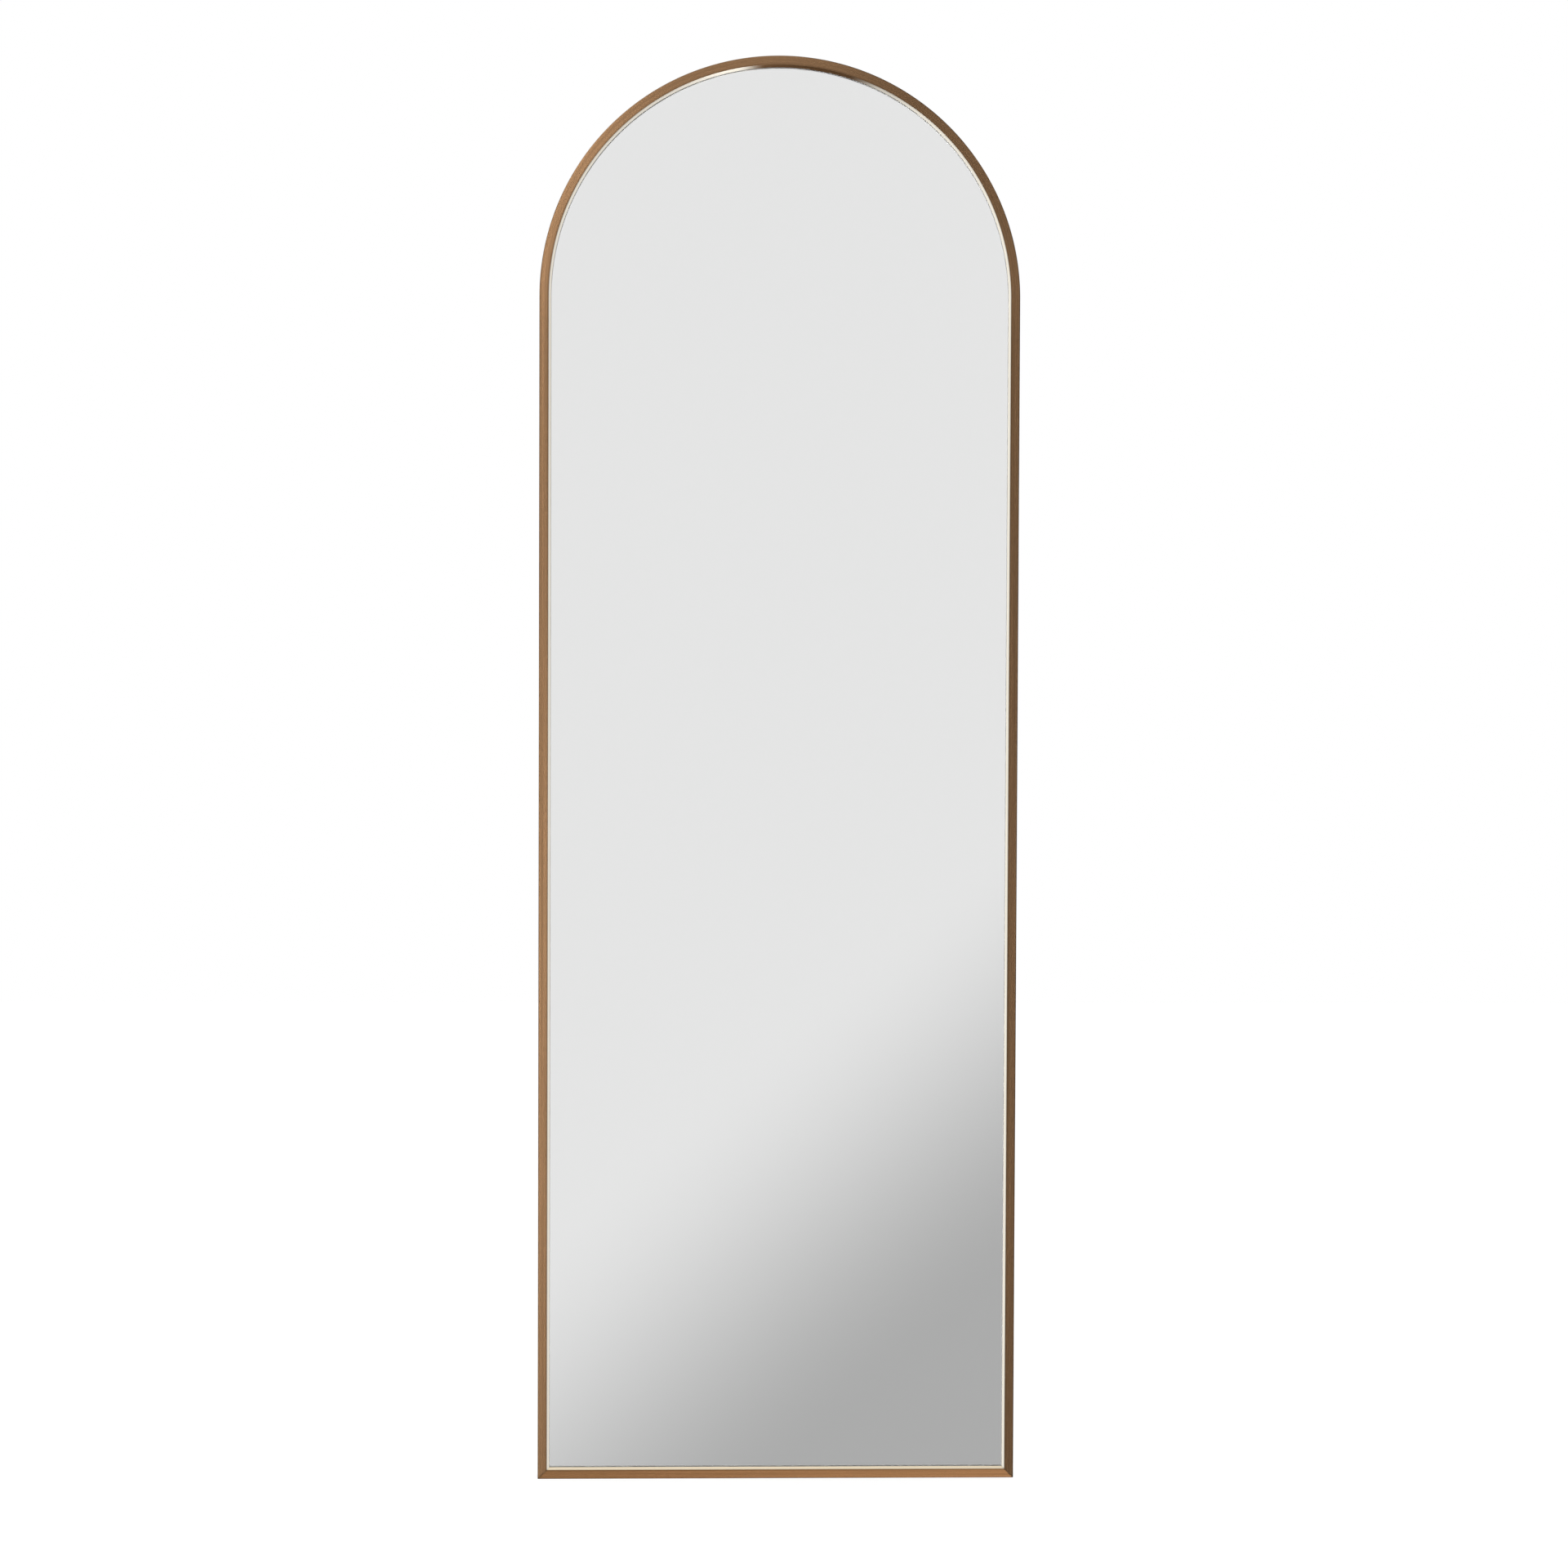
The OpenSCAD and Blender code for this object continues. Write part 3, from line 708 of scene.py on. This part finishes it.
def arched_sheet(name, inset, front, rear):
    """A flat sheet with a round top: half a disc, its straight side drawn down, then given depth."""
    clear_selection()
    bpy.ops.mesh.primitive_circle_add(
        vertices=2 * ARCH_STEPS,
        radius=HALF_W - inset,
        fill_type="NGON",
        calc_uvs=False,
        location=(0, front, SPRING_Z),
        rotation=(pi / 2, 0, 0),
    )
    piece = bpy.context.object
    piece.name = name
    bpy.ops.object.transform_apply(location=True, rotation=True, scale=True)
    edit(piece)
    cut(piece, (0, 0, SPRING_Z), (0, 0, -1), clear_outer=True)
    select_edges(piece, lambda edge: all(abs(end.co.z - SPRING_Z) < HAIR for end in edge.verts))
    bpy.ops.mesh.extrude_region_move(TRANSFORM_OT_translate={"value": (0, 0, FOOT_Z + inset - SPRING_Z)})
    bpy.ops.mesh.select_all(action="SELECT")
    bpy.ops.mesh.extrude_region_move(TRANSFORM_OT_translate={"value": (0, rear - front, 0)})
    bpy.ops.mesh.select_all(action="SELECT")
    bpy.ops.mesh.normals_make_consistent(inside=False)
    bpy.ops.object.mode_set(mode="OBJECT")
    return piece


def finish_profile(piece, along, inset, course, bevel_finish, node):
    """Rounds, maps and dresses a profile, and sets it in place of its solid."""
    round_edges(piece, EDGE_ROUND)
    lay_uv(piece, along, inset)
    lay_brushing(piece, course)
    dress_profile(piece, inset, bronze, bevel_finish)
    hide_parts(node)
    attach(piece, "mirror")


def settle_crown(piece):
    """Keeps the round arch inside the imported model's box, whose crown is the flat of a facet."""
    ratio = (CROWN_Z - SPRING_Z) / HALF_W
    for vertex in piece.data.vertices:
        if vertex.co.z > SPRING_Z:
            vertex.co.z = SPRING_Z + (vertex.co.z - SPRING_Z) * ratio


bronze = brushed_bronze()

bow = model_bow()
bow_bevel = bright_bevel("bow_bevel", BOW_BEVEL)
finish_profile(bow, bow_along, bow_inset, bow_course, bow_bevel, "frame_bow")
settle_crown(bow)
rail = model_rail()
rail_bevel = bright_bevel("rail_bevel", RAIL_BEVEL)
finish_profile(rail, rail_along, rail_inset, rail_course, rail_bevel, "bottom_rail")


# The silver is bonded into the rear face of the glass, so that no light is lost between the two

BOND = 0.00002
silver_low, silver_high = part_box("silver_coating")
silver = arched_sheet("silver_layer", HALF_W - silver_high.x, silver_low.y - BOND, silver_high.y)
silver.data.materials.append(silvering())
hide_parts("silver_coating")
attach(silver, "mirror")


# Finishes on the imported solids

def paint(material, *names):
    """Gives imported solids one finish."""
    for name in names:
        slots = nodes[name].data.materials
        slots.clear()
        slots.append(material)


def edges_of(name):
    """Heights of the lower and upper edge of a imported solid."""
    low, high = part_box(name)
    return (low.z, high.z)


paint(float_glass(), "mirror_glass")
paint(safety_film(), "safety_film")
paint(foam("white_foam", (0.86, 0.86, 0.85, 1), 900.0), "foam_sheet")
paint(fibreboard(), "backing_board")
paint(foam("grey_foam", (0.10, 0.10, 0.11, 1), 1200.0), "rail_pads")
black_rubber = rubber("black_rubber", (0.032, 0.032, 0.034, 1))
paint(black_rubber, "glazing_tape", "setting_blocks", "edge_spacers", "wall_bumpers")
paint(cast_zinc(), "corner_key_left", "corner_key_right")
for cross_rail in ("upper_rail", "lower_rail"):
    paint(plated_steel(cross_rail + "_zinc", (0.62, 0.63, 0.65, 1), edges_of(cross_rail)), cross_rail)
hanger_zinc = plated_steel("hanger_zinc", (0.47, 0.47, 0.48, 1))
paint(hanger_zinc, "hanger_strap_left", "hanger_strap_right", "hanger_rivets")
paint(plated_steel("screw_steel", (0.50, 0.50, 0.51, 1)), "corner_screws", "rail_screws")
paint(plated_steel("ring_wire", (0.42, 0.42, 0.43, 1)), "hanger_ring_left", "hanger_ring_right")


# The studio

FLOOR_SIZE = 12.0
FLOOR_TONE = (0.8, 0.8, 0.8, 1)
FLOOR_SEEN = (0.34, 0.34, 0.34, 1)
FLOOR_GLOW = 0.78


def make_floor():
    """Pale floor under the mirror: white to the camera, with the mirror's own soft shadow on it."""
    clear_selection()
    bpy.ops.mesh.primitive_plane_add(size=FLOOR_SIZE, location=(0, 0, FOOT_Z))
    floor = bpy.context.object
    floor.name = "floor"
    material = bpy.data.materials.new("pale_floor")
    material.use_nodes = True
    tree = material.node_tree
    tree.nodes.clear()
    seen = put(tree, "LightPath").outputs["Is Camera Ray"]
    matt = put(tree, "BsdfDiffuse", {"Color": mixed(tree, seen, FLOOR_TONE, FLOOR_SEEN)})
    glow = put(tree, "Emission", {"Strength": math_of(tree, "MULTIPLY", seen, FLOOR_GLOW)})
    both = put(tree, "AddShader", {0: matt.outputs[0], 1: glow.outputs[0]})
    put(tree, "OutputMaterial", {"Surface": both.outputs[0]})
    floor.data.materials.append(material)
    floor.visible_glossy = False
    floor.visible_transmission = False


# The studio that glass and metal see. A place in it is given by the parts of a ray's direction, and a soft
# edge by the two values that it runs between
MIRROR_RETURN = 0.94
ROOM_DARK = 0.406 / MIRROR_RETURN
ROOM_PALE = 0.776 / MIRROR_RETURN
FADE_ANGLE = radians(40.5)
FADE_EDGE = (-0.208, -0.100)
RIGHT_WALL = (0.112, 0.20)
RIGHT_WALL_TONE = 0.35
LEFT_WALL = (-0.22, -0.42)
LEFT_WALL_TONE = 0.75
LOW_EDGE = (-0.30, -0.36)
MATT_LEVEL = 0.82

# Two tall strip lights on the left, one above the other
STRIP_LEFT = (-0.29, -0.26)
STRIP_RIGHT = (-0.20, -0.17)
LOWER_STRIP = ((-0.27, -0.16), (-0.09, 0.08), 9.6)
UPPER_STRIP = ((0.0, 0.18), (0.26, 0.42), 8.6)

# Two soft boxes below the front: degrees to the right and up, inner and outer angle, level
WIDE_BOX = (11, -28, 3, 12, 3.4)
SMALL_BOX = (6, -26, 3, 10, 2.2)

# A hoop of light with two legs, where the bevel mirrors it to the camera
HOOP_X = 0.017
HOOP_Z = 0.129
HOOP_INNER = (0.660, 0.720)
HOOP_OUTER = (0.790, 0.850)
HOOP_FEET = (-0.34, -0.30)
HOOP_RIGHT = (0.08, 0.20)
HOOP_RIGHT_LEVEL = 0.68
HOOP_LEFT = (-0.20, -0.32)
HOOP_LEFT_LEVEL = 0.32


def toward(tree, way, direction):
    """How far a ray points along a direction."""
    aim = Vector(direction).normalized()
    return put(tree, "VectorMath", {0: way, 1: aim}, operation="DOT_PRODUCT").outputs["Value"]


def soft_box(tree, way, side, height, inner, outer, level):
    """A round feathered light, placed by its angles in degrees to the right of the front and up."""
    side, height = radians(side), radians(height)
    direction = (sin(side) * cos(height), -cos(side) * cos(height), sin(height))
    return ramp(tree, toward(tree, way, direction), cos(radians(outer)), cos(radians(inner)), 0.0, level)


def strip_box(tree, parts, bottom, top, level):
    """A tall narrow light on the left, between a soft bottom and a soft top."""
    side = between(tree, parts["X"], STRIP_LEFT, STRIP_RIGHT)
    return product(tree, side, between(tree, parts["Z"], bottom, top), level)


def bevel_hoop(tree, parts):
    """A hoop of light below, with a leg up each side, brighter on the right."""
    aside = math_of(tree, "SUBTRACT", parts["X"], HOOP_X)
    drop = math_of(tree, "MINIMUM", math_of(tree, "SUBTRACT", parts["Z"], HOOP_Z), 0.0)
    bend = put(tree, "CombineXYZ", {"X": aside, "Z": drop}).outputs[0]
    reach = put(tree, "VectorMath", {0: bend}, operation="LENGTH").outputs["Value"]
    legs = product(
        tree,
        between(tree, math_of(tree, "ABSOLUTE", aside), HOOP_INNER, HOOP_OUTER),
        ramp(tree, parts["Z"], *HOOP_FEET, 0.0, 1.0),
    )
    hoop = math_of(tree, "MAXIMUM", between(tree, reach, HOOP_INNER, HOOP_OUTER), legs)
    right = ramp(tree, parts["X"], *HOOP_RIGHT, 0.0, HOOP_RIGHT_LEVEL)
    left = ramp(tree, parts["X"], *HOOP_LEFT, 0.0, HOOP_LEFT_LEVEL)
    return product(tree, hoop, math_of(tree, "ADD", right, left))


def make_world():
    """White to the camera, even light for matt surfaces, and a soft studio for what reflects."""
    world = bpy.data.worlds.new("studio")
    bpy.context.scene.world = world
    world.use_nodes = True
    tree = world.node_tree
    tree.nodes.clear()
    way = put(tree, "TexCoord").outputs["Generated"]
    parts = put(tree, "SeparateXYZ", {0: way}).outputs
    rise = toward(tree, way, (-sin(FADE_ANGLE), 0, cos(FADE_ANGLE)))
    low = ramp(tree, parts["Z"], *LOW_EDGE, 0.0, 1.0)
    lit = product(
        tree,
        ramp(tree, rise, *FADE_EDGE, ROOM_DARK, ROOM_PALE),
        ramp(tree, parts["X"], *RIGHT_WALL, 1.0, RIGHT_WALL_TONE),
        ramp(tree, parts["X"], *LEFT_WALL, 1.0, LEFT_WALL_TONE),
    )
    for light in (
        strip_box(tree, parts, *LOWER_STRIP),
        strip_box(tree, parts, *UPPER_STRIP),
        product(tree, low, soft_box(tree, way, *WIDE_BOX)),
        product(tree, low, soft_box(tree, way, *SMALL_BOX)),
        bevel_hoop(tree, parts),
    ):
        lit = math_of(tree, "ADD", lit, light)
    path = put(tree, "LightPath").outputs
    reflected = math_of(tree, "MAXIMUM", path["Is Glossy Ray"], path["Is Transmission Ray"])
    plain = put(tree, "Mix", {"Factor": path["Is Camera Ray"], "A": MATT_LEVEL, "B": 1.0}).outputs[0]
    level = put(tree, "Mix", {"Factor": reflected, "A": plain, "B": lit}).outputs[0]
    background = put(tree, "Background", {"Color": (1, 1, 1, 1), "Strength": level})
    put(tree, "OutputWorld", {"Surface": background.outputs[0]})


def add_lamp(name, place, size, power):
    """A square soft box that faces the middle of the mirror."""
    clear_selection()
    bpy.ops.object.light_add(type="AREA", location=place)
    lamp = bpy.context.object
    lamp.name = name
    lamp.data.shape = "RECTANGLE"
    lamp.data.size = size
    lamp.data.size_y = size
    lamp.data.energy = power
    middle = Vector((0, 0, (FOOT_Z + CROWN_Z) / 2))
    lamp.rotation_euler = (middle - Vector(place)).to_track_quat("-Z", "Y").to_euler()


LENS_MM = 70.0
EYE_SIDE = -0.1003
EYE_AWAY = 3.881
EYE_HEIGHT = 1.004
PITCH = radians(-1.6706)
ROLL = radians(-0.2244)
YAW = radians(-1.5840)


def make_camera():
    """Stands where the outline in the photograph says, a metre up and a little left of the middle."""
    data = bpy.data.cameras.new("camera")
    data.lens = LENS_MM
    data.sensor_width = 36.0
    camera = bpy.data.objects.new("camera", data)
    bpy.context.scene.collection.objects.link(camera)
    aim = Matrix.Rotation(YAW, 4, "Z") @ Matrix.Rotation(PITCH, 4, "X") @ Matrix.Rotation(ROLL, 4, "Y")
    eye = Vector((EYE_SIDE, FRONT_Y - EYE_AWAY, FOOT_Z + EYE_HEIGHT))
    camera.matrix_world = Matrix.Translation(eye) @ aim @ Matrix.Rotation(pi / 2, 4, "X")
    bpy.context.scene.camera = camera


make_floor()
make_world()
add_lamp("key_box", (-1.2, -1.45, 1.5), 1.0, 14.0)
add_lamp("rear_box", (1.6, 2.4, 0.6), 1.5, 30.0)
make_camera()

bpy.context.scene.view_settings.view_transform = "Standard"
